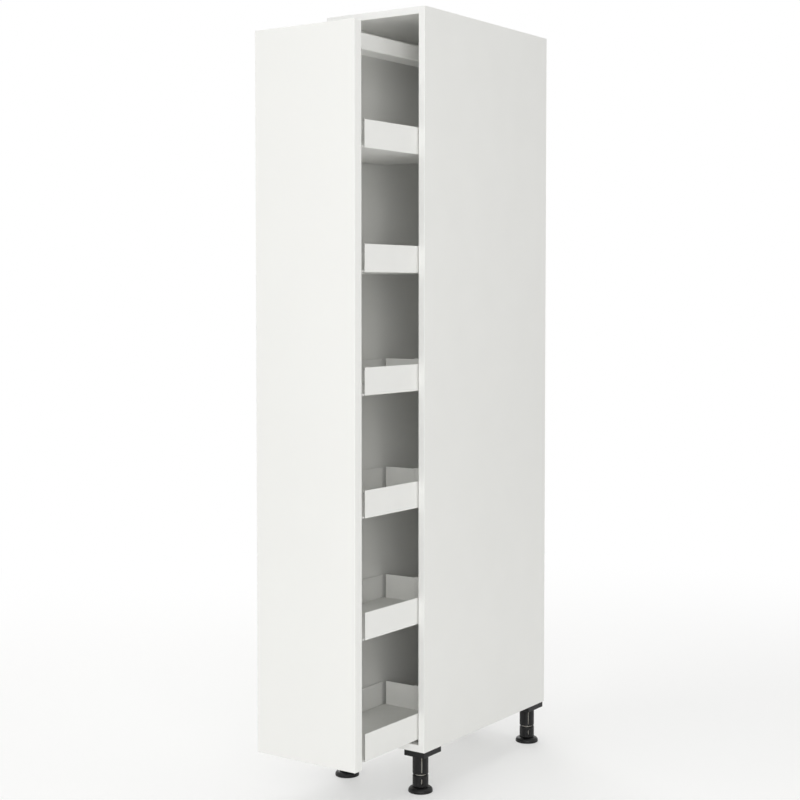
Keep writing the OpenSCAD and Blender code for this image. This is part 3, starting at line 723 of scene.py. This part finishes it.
@dataclass
class Cabinet:
    """The standing part: five boards, their joints, the wall fixings and the top guide.

    Attributes:
        board_edge: Radius of the boards' edges.
        thin_edge: Radius of the edges of the back board, brackets and rails.
        flutes: Grooves round a dowel.
    """

    board_edge: float = 0.9
    thin_edge: float = 0.4
    flutes: int = 16

    def build(self) -> None:
        """Builds every piece of the cabinet except its legs and its runner."""
        for node in ("side_panel_left", "side_panel_right", "top_panel", "bottom_panel"):
            eased(f"{node}_board", node, MELAMINE, self.board_edge, longer=15)
        eased("back_board", "back_panel", BACK_BOARD, self.thin_edge, longer=50)
        eased("wall_angle_brackets", "wall_brackets", ZINC, self.thin_edge)
        eased("top_guide_section", "guide_rail", RUNNER_STEEL, self.thin_edge)
        eased("top_guide_hangers", "guide_hangers", RUNNER_STEEL, self.thin_edge)
        dress("guide_pins", ZINC)
        build("countersunk_screws", screws_of("panel_screws", 1.2, 2.5, True), ZINC, "panel_screws")
        for node, name, make, finish in (("cam_locks", "cam_lock_housings", self._cam, ZINC),
                                         ("cam_bolts", "cam_lock_bolts", self._bolt, ZINC),
                                         ("dowels", "fluted_dowels", self._dowel, BEECH)):
            build(name, joined(make(Extent.of_points(cloud)) for cloud in solids_of(node)), finish, node)
        for side in ("left", "right"):
            self._roller(f"guide_roller_{side}")

    def _cam(self, box: Extent) -> Surface:
        """Returns a cam lock: a short barrel with a chamfered rim and a crossed slot in its outer face."""
        above = box.at()[2] > Extent.of_node("back_panel").high[2] / 2
        radius, depth = box.size[0] / 2, box.size[2]
        lock = cross_screw(radius, depth, head=3.0, shank=radius - 0.4, pitch=3.0, columns=32)
        start = box.at(z=(box.high if above else box.low)[2])
        return lock.placed(start, Facing.DOWN if above else Facing.UP)

    def _bolt(self, box: Extent) -> Surface:
        """Returns a cam bolt: a coarse thread in the side board, a collar, and a neck with a head."""
        columns, core, collar, neck, pitch, swing = 20, 2.5, 3.5, 2.6, 2.4, 0.3
        length, end = box.size[0], 11.0
        z = np.arange(0.4, end, pitch / 4)
        rows = np.concatenate([[(1.2, 0)], np.stack([0 * z + core, z], 1),
                               [(core, end), (collar, end), (collar, end + 2), (neck, end + 2.6),
                                (neck, length - 3), (collar, length - 2.4), (collar, length - 0.5),
                                (2.8, length)]])
        wave = thread(rows[:, 1:], pitch, swing, columns)
        wave[0] = wave[len(z) + 1 :] = 0
        right = box.at()[0] > 0
        start = box.at(x=(box.high if right else box.low)[0])
        return turned(rows, columns, ripple=wave).placed(start, Facing.LEFT if right else Facing.RIGHT)

    def _dowel(self, box: Extent) -> Surface:
        """Returns a dowel whose radius dips along straight flutes, with chamfered ends."""
        length, radius, columns = box.size[0], box.size[2] / 2, 4 * self.flutes
        chamfer, slope, dip = 1.2, 1.4, 0.14
        rows = [(radius - chamfer, 0), (radius, slope), (radius, length - slope), (radius - chamfer, length)]
        dips = np.array([0, 1, 1, 0])[:, None] * -dip * (1 + np.cos(self.flutes * around(columns)))
        return turned(rows, columns, ripple=dips).placed(box.at(x=box.low[0]), Facing.RIGHT)

    def _roller(self, node: str) -> None:
        """Builds a guide roller: a ring with a crowned rim and a shallow dish in each face."""
        box = Extent.of_node(node)
        r, h, bore, dish = box.size[0] / 2, box.size[2], 3.05, 0.7
        lower = [(bore, 0.4), (bore + 0.4, 0), (5.4, 0), (6, dish), (9.4, dish), (10, 0), (r - 0.9, 0),
                 (r - 0.1, 1)]
        profile = [*lower, (r, h / 2), *((x, h - z) for x, z in lower[::-1])]
        build(f"{node}_wheel", turned(profile, 48, loop=True).placed(box.at(z=box.low[2])), NYLON, node)


@dataclass
class Leg:
    """One adjustable leg: a threaded spindle, its slotted sleeve and a swivel foot.

    Attributes:
        corner: Name of the cabinet's corner.
        pitch: Distance between turns of the spindle's thread.
        ribs: Grip ribs round the sleeve.
        rays: Rays on the foot.
        pin: Radius of the pin that the foot swivels on.
    """

    corner: str
    pitch: float = 4.0
    ribs: int = 24
    rays: int = 12
    pin: float = 6.0

    def build(self) -> None:
        """Builds the three moving pieces of the leg."""
        for make, part, name, finish in ((self._spindle, "spindle", "thread", NYLON),
                                         (self._sleeve, "sleeve", "grip", BLACK_PLASTIC),
                                         (self._foot, "foot", "disc", BLACK_PLASTIC)):
            node = f"leg_{part}_{self.corner}"
            box = Extent.of_node(node)
            surface = make(box.size[0] / 2, box.size[2]).placed(box.at(z=box.low[2]))
            build(f"{node}_{name}", surface, finish, node)

    def _spindle(self, radius: float, height: float) -> Surface:
        """Returns the spindle: a threaded rod with a bore for the foot's pin."""
        columns, chamfer, swing, bore = 36, 1.4, 0.5, self.pin + 0.05
        z = np.arange(1.0, height - 1, self.pitch / 6)
        rows = np.concatenate([[(bore, 16), (bore, 0), (radius - chamfer, 0)],
                               np.stack([0 * z + radius, z], 1), [(radius - chamfer, height)]])
        wave = thread(rows[:, 1:], self.pitch, swing, columns)
        wave[:3] = wave[-1] = 0
        return turned(rows, columns, ripple=wave)

    def _sleeve(self, radius: float, height: float) -> Surface:
        """Returns the sleeve: a ribbed tube grid with four slots left out, whose ends bow on half circles."""
        columns, wall, rounding, rib_depth, plain = 144, 5.9, 2.2, 0.45, 3.0
        slot, reach = 1.75, 5.75
        u, middle = around(columns), height / 2
        apart = u % QUARTER - QUARTER / 2
        along = np.abs(apart) * radius
        bow = np.sqrt(np.clip(slot**2 - along**2, 0, None))
        rim = np.array([0, 0.5, 1.2, rounding])
        fall = rounding - np.sqrt(rounding**2 - (rounding - rim) ** 2)
        z = np.array([*(0 * u + row for row in rim), middle - reach - bow, middle + reach + bow,
                      *(0 * u + height - row for row in rim[::-1])])
        ribbed = -rib_depth * (1 - np.abs(np.cos(self.ribs / 2 * u))) * (along > plain)
        share = np.array([0, 0, 0.5, 1, 1, 1, 1, 0.5, 0, 0])
        r = radius - np.concatenate([fall, [0, 0], fall[::-1]])[:, None] + ribbed * share[:, None]
        half_step = math.pi / columns
        centre = np.abs((apart + half_step + QUARTER / 2) % QUARTER - QUARTER / 2) * radius
        keep = np.ones((len(z) - 1, columns), bool)
        keep[len(rim)] = centre > slot
        bore = radius - wall + 0 * r
        outer, inner = (np.stack([a * np.cos(u), a * np.sin(u), z], -1) for a in (r, bore))
        return slotted_tube(outer, inner, keep)

    def _foot(self, radius: float, height: float) -> Surface:
        """Returns the foot: a domed disc with shallow rays, a ring groove underneath and the pin."""
        columns, top, dish, groove, ray_depth = 96, 13.0, 0.6, 0.9, 0.35
        dome_foot, dome_centre = 4.0, 21.0
        a = np.radians(np.arange(0, 91, 10))
        dome = np.stack([dome_centre + (radius - dome_centre) * np.cos(a),
                         dome_foot + (top - dome_foot) * np.sin(a)], 1)
        under = [(8, groove), (9, 0), (12, 0), (13, groove), (24, groove), (25, 0),
                 (radius - 1.5, 0), (radius - 0.4, 0.5), (radius, 1.5)]
        rows = np.concatenate([under, dome, [(19.5, top - dish), (7.5, top - dish), (self.pin, top),
                                             (self.pin, height - 0.5), (self.pin - 0.5, height)]])
        wave = np.zeros((len(rows), columns))
        from_30_to_80 = slice(len(under) + 3, len(under) + 9)
        wave[from_30_to_80] = -ray_depth * np.clip(np.cos(self.rays * around(columns)), 0, 1)
        return turned(rows, columns, ripple=wave)


def slotted_tube(outer: np.ndarray, inner: np.ndarray, keep: np.ndarray) -> Surface:
    """Joins an outer and an inner tube grid, with the same cells left out of both, into one closed wall.

    Args:
        outer: Outer points by row and column, the columns in a ring.
        inner: Inner points in the same order.
        keep: True for each cell of the wall that stays.

    Returns:
        The wall: both faces, its two ends, and the sides of its openings, which are the cell
        borders with a kept cell on one side only.
    """
    rows, columns = outer.shape[:2]
    index = np.arange(rows * columns).reshape(rows, columns)
    index = np.concatenate([index, index[:, :1]], 1)
    front = cells_of(index)[keep]
    shift = rows * columns
    stacked = np.concatenate([np.zeros((1, columns), bool), keep, np.zeros((1, columns), bool)])
    below, above = stacked[1:] & ~stacked[:-1], ~stacked[1:] & stacked[:-1]
    before = np.roll(keep, 1, 1)
    left, right = keep & ~before, before & ~keep
    here, after = index[:, :-1], index[:, 1:]
    a = np.concatenate([after[below], here[above], here[:-1][left], here[1:][right]])
    b = np.concatenate([here[below], after[above], here[1:][left], here[:-1][right]])
    walls = np.stack([a, b, b + shift, a + shift], 1)
    cells = np.concatenate([front, front[:, ::-1] + shift, walls])
    points = np.concatenate([outer.reshape(-1, 3), inner.reshape(-1, 3)])
    return Surface(points, cells.ravel(), np.full(len(cells), 4))


# ---------------------------------------------------------------- pull-out


@dataclass
class PullOut:
    """The rolling part: door, uprights, top channel, runner members and what ties them.

    Attributes:
        door_edge: Radius of the door's edges.
        sheet, rail_sheet, runner_sheet: Sheet of the uprights, the top channel and the runner.
        end_plate: Thickness of the plates in the uprights' ends.
    """

    door_edge: float = 1.6
    sheet: float = 2.0
    rail_sheet: float = 1.5
    runner_sheet: float = 1.2
    end_plate: float = 4.0

    def build(self) -> None:
        """Builds the pull-out without its baskets."""
        door = Extent.of_node("door_panel")
        leaf = round_slab(door.size[[0, 2, 1]], self.door_edge).placed(door.at(y=door.low[1]), Facing.BACK)
        build("door_leaf", leaf, DOOR_LACQUER, "door_panel")
        self._upright("front_upright", Facing.UP_TURNED, lip=10.0)
        self._upright("rear_upright", Facing.UP, lip=0.0)
        self._top_channel()
        self._member("runner_outer", Facing.BACK, lip=4.0)
        self._member("runner_middle", Facing.BACK, lip=4.0)
        self._member("runner_inner", Facing.BACK_TURNED, lip=0.0)
        dress("ball_cage_outer", RUNNER_STEEL)
        dress("ball_cage_inner", RUNNER_STEEL)
        eased("door_fixing_plates", "door_brackets", ZINC, edge=0.6)
        eased("basket_carrier_pockets", "basket_carriers", POWDER_PAINT, edge=0.4)
        build("door_fixing_screws", screws_of("door_screws", 2.5, 1.0), ZINC, "door_screws")
        build("pan_head_screws", screws_of("machine_screws", 2.0, 1.0), ZINC, "machine_screws")
        buffers = (self._buffer(Extent.of_points(cloud)) for cloud in solids_of("door_bumpers"))
        build("silicone_door_buffers", joined(buffers), NYLON, "door_bumpers")

    def _upright(self, node: str, facing: Facing, lip: float) -> None:
        """Builds an upright: a folded channel on end, with a plate in each end."""
        box, t = Extent.of_node(node), self.sheet
        width, depth, height = box.size
        open_front = facing is Facing.UP_TURNED
        web = box.at(y=(box.high if open_front else box.low)[1], z=box.low[2])
        parts = [channel(width, depth, t, lip, height, radius=2.2).placed(web, facing)]
        plate = round_slab((width - 2 * t, depth - t - 2 * HAIR, self.end_plate), edge=0.3)
        middle = box.at()[1] + (-t if open_front else t) / 2
        parts += [plate.placed(box.at(y=middle, z=z)) for z in (box.low[2], box.high[2] - self.end_plate)]
        build(f"{node}_section", joined(parts), POWDER_PAINT, node)

    def _top_channel(self) -> None:
        """Builds the top channel, open upwards with lips, and the plate that closes it at the door."""
        box, t = Extent.of_node("top_channel"), self.rail_sheet
        width, length, height = box.size
        section = channel(width, height, t, lip=14.0, length=length - t, radius=2.4)
        plate = round_slab((width, height, t), edge=0.3, corner=2.0)
        parts = [section.placed(box.at(y=box.low[1] + t, z=box.low[2]), Facing.BACK),
                 plate.placed(box.at(y=box.low[1]), Facing.BACK)]
        build("top_channel_section", joined(parts), POWDER_PAINT, "top_channel")

    def _member(self, node: str, facing: Facing, lip: float) -> None:
        """Builds one member of the floor runner, a shallow folded channel."""
        box = Extent.of_node(node)
        web = box.at(y=box.low[1], z=(box.low if facing is Facing.BACK else box.high)[2])
        width, length, height = box.size
        section = channel(width, height, self.runner_sheet, lip, length, radius=1.3)
        build(f"{node}_member", section.placed(web, facing), RUNNER_STEEL, node)

    def _buffer(self, box: Extent) -> Surface:
        """Returns a door buffer: a low dome whose height falls with the square of the radius."""
        radius, height = box.size[0] / 2, box.size[1]
        tip, fall = 0.3, 0.75
        r = np.linspace(radius, tip, 9)
        dome = np.stack([r, height * (1 - fall * (r / radius) ** 2)], 1)
        rows = np.concatenate([[(radius - HAIR, 0)], dome])
        return turned(rows).placed(box.at(y=box.low[1]), Facing.BACK)


@dataclass
class Basket:
    """One hook-in basket: a folded tray with open corners, its base board and two hook plates.

    Attributes:
        name: Name of the basket, with which its nodes' names start.
        sheet, hook_sheet: Sheet thickness of the tray and of the hook plates.
        bend, hook_bend: Radius of their bends at the middle of the sheet.
        notch: Width of the open corners.
        hem: Height of the hem that is folded in along the long walls.
        tongue: Width of the tongue that enters the carrier.
        tongue_end: Height of its end above the tray's underside.
    """

    name: str
    sheet: float = 1.2
    bend: float = 1.7
    notch: float = 8.0
    hem: float = 7.0
    hook_sheet: float = 2.0
    hook_bend: float = 1.3
    tongue: float = 44.0
    tongue_end: float = 18.0

    def build(self) -> None:
        """Builds the tray, the base board and the hooks."""
        tray, base, hooks = (f"{self.name}_{part}" for part in ("tray", "base", "hooks"))
        box, board = Extent.of_node(tray), Extent.of_node(base)
        folded = self._tray(box.size).placed(box.at(z=box.low[2]))
        build(f"{self.name}_folded_tray", folded, POWDER_PAINT, tray, sheet=self.sheet)
        slab = round_slab(board.size, edge=0.6, corner=2.0).placed(board.at(z=board.low[2]))
        build(f"{base}_board", slab, BASE_MELAMINE, base)
        plates = self._hooks(box, Extent.of_node(hooks))
        build(f"{self.name}_hook_plates", plates, POWDER_PAINT, hooks, sheet=self.hook_sheet)

    def _wall(self, half: float, height: float, hem: float) -> np.ndarray:
        """Traces a wall's middle line from the floor outwards and up: a bend, a straight and a hem.

        Args:
            half: Half the tray's outer size across the wall.
            height: Height of the wall's outer face above the floor's middle.
            hem: Height of the hem that is folded in, or 0 for none.

        Returns:
            The line's points.
        """
        x, t = half - self.sheet / 2, self.sheet
        line = [(half - self.notch / 2, 0.0), (x, 0.0), (x, height - t / 2)]
        rounded = bent_line(line, self.bend)[0]
        if not hem:
            return rounded[1:]
        fold = 1.1 * t
        top = [(x, height / 2), (x, height - t), (x - fold, height - t), (x - fold, height - t - hem)]
        return np.concatenate([rounded[1:-1], bent_line(top, 0.48 * fold)[0][1:]])

    def _tray(self, size: np.ndarray) -> Surface:
        """Makes the tray's middle surface.

        Point (v, u) is (a(u), b(v), h(u) + h(v)), where a and h follow the long walls' line
        and b and h the end walls' line. The cells where both lines rise are left out, and so
        are those of a wall beside a corner, which leaves the notches of the folded sheet.

        Args:
            size: Outer size of the tray.

        Returns:
            The open surface, looking up and inwards.
        """
        lines, zones = [], []
        for half, hem in ((size[0] / 2, self.hem), (size[1] / 2, 0.0)):
            wall = self._wall(half, size[2] - self.sheet / 2 + (0 if hem else self.sheet / 2), hem)
            floor = np.array([(self.notch - half, 0.0), (half - self.notch, 0.0)])
            lines.append(np.concatenate([(wall * (-1, 1))[::-1], floor, wall]))
            rise = [2] * (len(wall) - 1)
            zones.append(np.array([*rise, 1, 0, 1, *rise]))
        (a, rise_a), (b, rise_b) = lines[0].T, lines[1].T
        u, v = np.meshgrid(zones[0], zones[1])
        keep = ((u < 2) & (v < 2)) | ((u == 2) & (v == 0)) | ((v == 2) & (u == 0))
        x, y = np.meshgrid(a, b)
        z = rise_a[None, :] + rise_b[:, None] + self.sheet / 2
        return Surface.grid(np.stack([x, y, z], -1), ring=False, keep=keep)

    def _hooks(self, tray: Extent, hooks: Extent) -> Surface:
        """Makes both hook plates' middle surface.

        Each is a strip whose bent line goes up the inside of the end wall, over it and down
        into the carrier. Past the top only the cells of the narrower tongue are kept.

        Args:
            tray: The tray's box.
            hooks: The box of both hook plates.

        Returns:
            The two open surfaces.
        """
        t, half = self.hook_sheet, hooks.size[0] / 2
        inner, outer = -self.sheet - t / 2, hooks.high[1] - tray.high[1] - t / 2
        foot, top = hooks.low[2] - tray.low[2], hooks.high[2] - tray.low[2] - t / 2
        corners = [(inner, foot), (inner, top), (outer, top), (outer, self.tongue_end)]
        line = bent_line(corners, self.hook_bend)[0]
        x = np.array([-half, -self.tongue / 2, self.tongue / 2, half])
        points = np.stack([x + 0 * line[:, :1], 0 * x + line[:, :1], 0 * x + line[:, 1:]], -1)
        over = np.arange(len(line) - 1) < np.argmax(line[:, 0] > outer - self.hook_bend - HAIR)
        strip = Surface.grid(points, ring=False, keep=over[:, None] | np.array([False, True, False]))
        return joined([strip.placed(tray.at(y=tray.low[1], z=tray.low[2]), Facing.UP_TURNED),
                       strip.placed(tray.at(y=tray.high[1], z=tray.low[2]))])


# ---------------------------------------------------------------- studio


@dataclass(frozen=True)
class SoftLamp:
    """A square soft box: its place and size in metres, and its power in watts."""

    name: str
    place: tuple[float, float, float]
    size: float
    watts: float

    def hang(self, target: Vector) -> None:
        """Makes the lamp and points it at a target."""
        data = bpy.data.lights.new(self.name, "AREA")
        data.size, data.energy = self.size, self.watts
        lamp = linked(self.name, data)
        lamp.visible_camera = False
        lamp.location = self.place
        lamp.rotation_mode = "QUATERNION"
        lamp.rotation_quaternion = (target - Vector(self.place)).to_track_quat("-Z", "Y")


@dataclass(frozen=True)
class Studio:
    """Camera, plain soft light and a pale floor that runs out into white.

    Attributes:
        eye: Place of the camera in metres.
        yaw, pitch: Its turn to the left of +Y and its tilt below the horizon, in degrees.
        lens: Focal length in mm, for a picture 36 mm wide.
        shift: Vertical shift, in picture widths.
        ambient: Strength of the light from all around.
        lamps: The soft boxes.
        aim: Place in metres that they point at, the unit's middle.
        floor_near, floor_far: Distances in metres between which the floor turns to plain white.
        floor_white: Share of plain white that it has by the unit.
    """

    eye: tuple[float, float, float] = (2.2539, -3.2807, 1.2506)
    yaw: float = 34.882
    pitch: float = 2.481
    lens: float = 69.134
    shift: float = -0.05
    ambient: float = 0.45
    lamps: tuple[SoftLamp, ...] = (
        SoftLamp("key_box", (-1.6, -3.6, 4.6), 2.6, 36.0),
        SoftLamp("fill_box", (3.1, -3.8, 1.8), 3.0, 90.0),
        SoftLamp("top_box", (0.1, 0.1, 8.0), 5.0, 140.0),
        SoftLamp("rear_box", (-3.6, 3.4, 3.0), 3.0, 80.0),
    )
    aim: tuple[float, float, float] = (0.0, 0.0, 0.95)
    floor_near: float = 1.0
    floor_far: float = 3.4
    floor_white: float = 0.35

    def camera(self) -> None:
        """Makes the camera."""
        a, t = math.radians(self.yaw), math.radians(self.pitch)
        data = bpy.data.cameras.new("camera")
        data.lens, data.sensor_width, data.shift_y = self.lens, 36.0, self.shift
        view = linked("camera", data)
        view.location = self.eye
        view.rotation_mode = "QUATERNION"
        way = Vector((-math.sin(a) * math.cos(t), math.cos(a) * math.cos(t), -math.sin(t)))
        view.rotation_quaternion = way.to_track_quat("-Z", "Y")
        bpy.context.scene.camera = view

    def light(self) -> None:
        """Makes the lamps, the surrounding light and the floor."""
        bpy.context.scene.view_settings.view_transform = "Standard"
        for lamp in self.lamps:
            lamp.hang(Vector(self.aim))
        world = bpy.data.worlds.new("studio_air")
        bpy.context.scene.world = world
        tree = emptied(world)
        around_it = add(tree, "Background", {"Color": linear("#FBFBFA"), "Strength": self.ambient})
        white = add(tree, "Background", {"Color": linear("#FFFFFF")})
        shares = {0: self._seen(tree), 1: around_it[0], 2: white[0]}
        mixed = add(tree, "MixShader", shares)
        add(tree, "OutputWorld", {"Surface": mixed[0]})
        self._floor()

    def _seen(self, tree: bpy.types.NodeTree) -> Any:
        """Returns 1 for a ray that shows a surface: from the camera, mirrored or through something."""
        rays = add(tree, "LightPath")
        value = rays["Is Camera Ray"]
        for other in ("Is Glossy Ray", "Is Transmission Ray"):
            value = add(tree, "Math", {0: value, 1: rays[other]}, operation="MAXIMUM")[0]
        return value

    def _floor(self) -> None:
        """Makes the floor: rings whose radius grows with the square of their number, finest by the unit."""
        columns, rings, least, radius = 96, 40, 0.02, 12000.0
        radii = radius * np.linspace(least, 1, rings) ** 2
        disc = turned(np.stack([radii, 0 * radii], 1), columns)
        upwards = Surface(disc.points, disc.corners[:-columns][::-1], disc.sizes[:-1][::-1])
        mesh = mesh_of("studio_floor", upwards)
        mesh.shade_flat()
        mesh.materials.append(self._floor_paint())
        linked("studio_floor", mesh)

    def _floor_paint(self) -> bpy.types.Material:
        """Returns the floor's material: matt white paint that turns to plain white away from the unit."""
        made = bpy.data.materials.new("matt_white_floor_paint")
        tree = emptied(made)
        place = add(tree, "TexCoord")["Object"]
        away = add(tree, "VectorMath", {0: place}, operation="LENGTH")["Value"]
        share = add(tree, "MapRange",
                    {0: away, 1: self.floor_near, 2: self.floor_far, 3: self.floor_white},
                    interpolation_type="SMOOTHSTEP")[0]
        seen = add(tree, "Math", {0: share, 1: self._seen(tree)}, operation="MULTIPLY")[0]
        speckle = add(tree, "TexNoise", {"Vector": place, "Scale": 90.0, "Detail": 3.0})[0]
        colours = {0: speckle, 6: linear("#FDFDFC"), 7: linear("#FAFAF9")}
        colour = add(tree, "Mix", colours, data_type="RGBA")[2]
        paint = add(tree, "BsdfPrincipled", {"Base Color": colour, "Roughness": 0.85})
        white = add(tree, "Emission", {"Color": linear("#FFFFFF")})
        mixed = add(tree, "MixShader", {0: seen, 1: paint[0], 2: white[0]})
        add(tree, "OutputMaterial", {"Surface": mixed[0]})
        return made


def main() -> None:
    """Builds the studio and every piece of the unit."""
    logging.basicConfig(level=logging.INFO, format="%(name)s: %(message)s")
    studio = Studio()
    studio.camera()
    Cabinet().build()
    eased("leg_sockets_moulding", "leg_sockets", BLACK_PLASTIC, edge=0.9, longer=2.0)
    for corner in CORNERS:
        Leg(corner).build()
    PullOut().build()
    for number in range(1, BASKETS + 1):
        Basket(f"basket_{number}").build()
    studio.light()


if __name__ == "__main__":
    main()
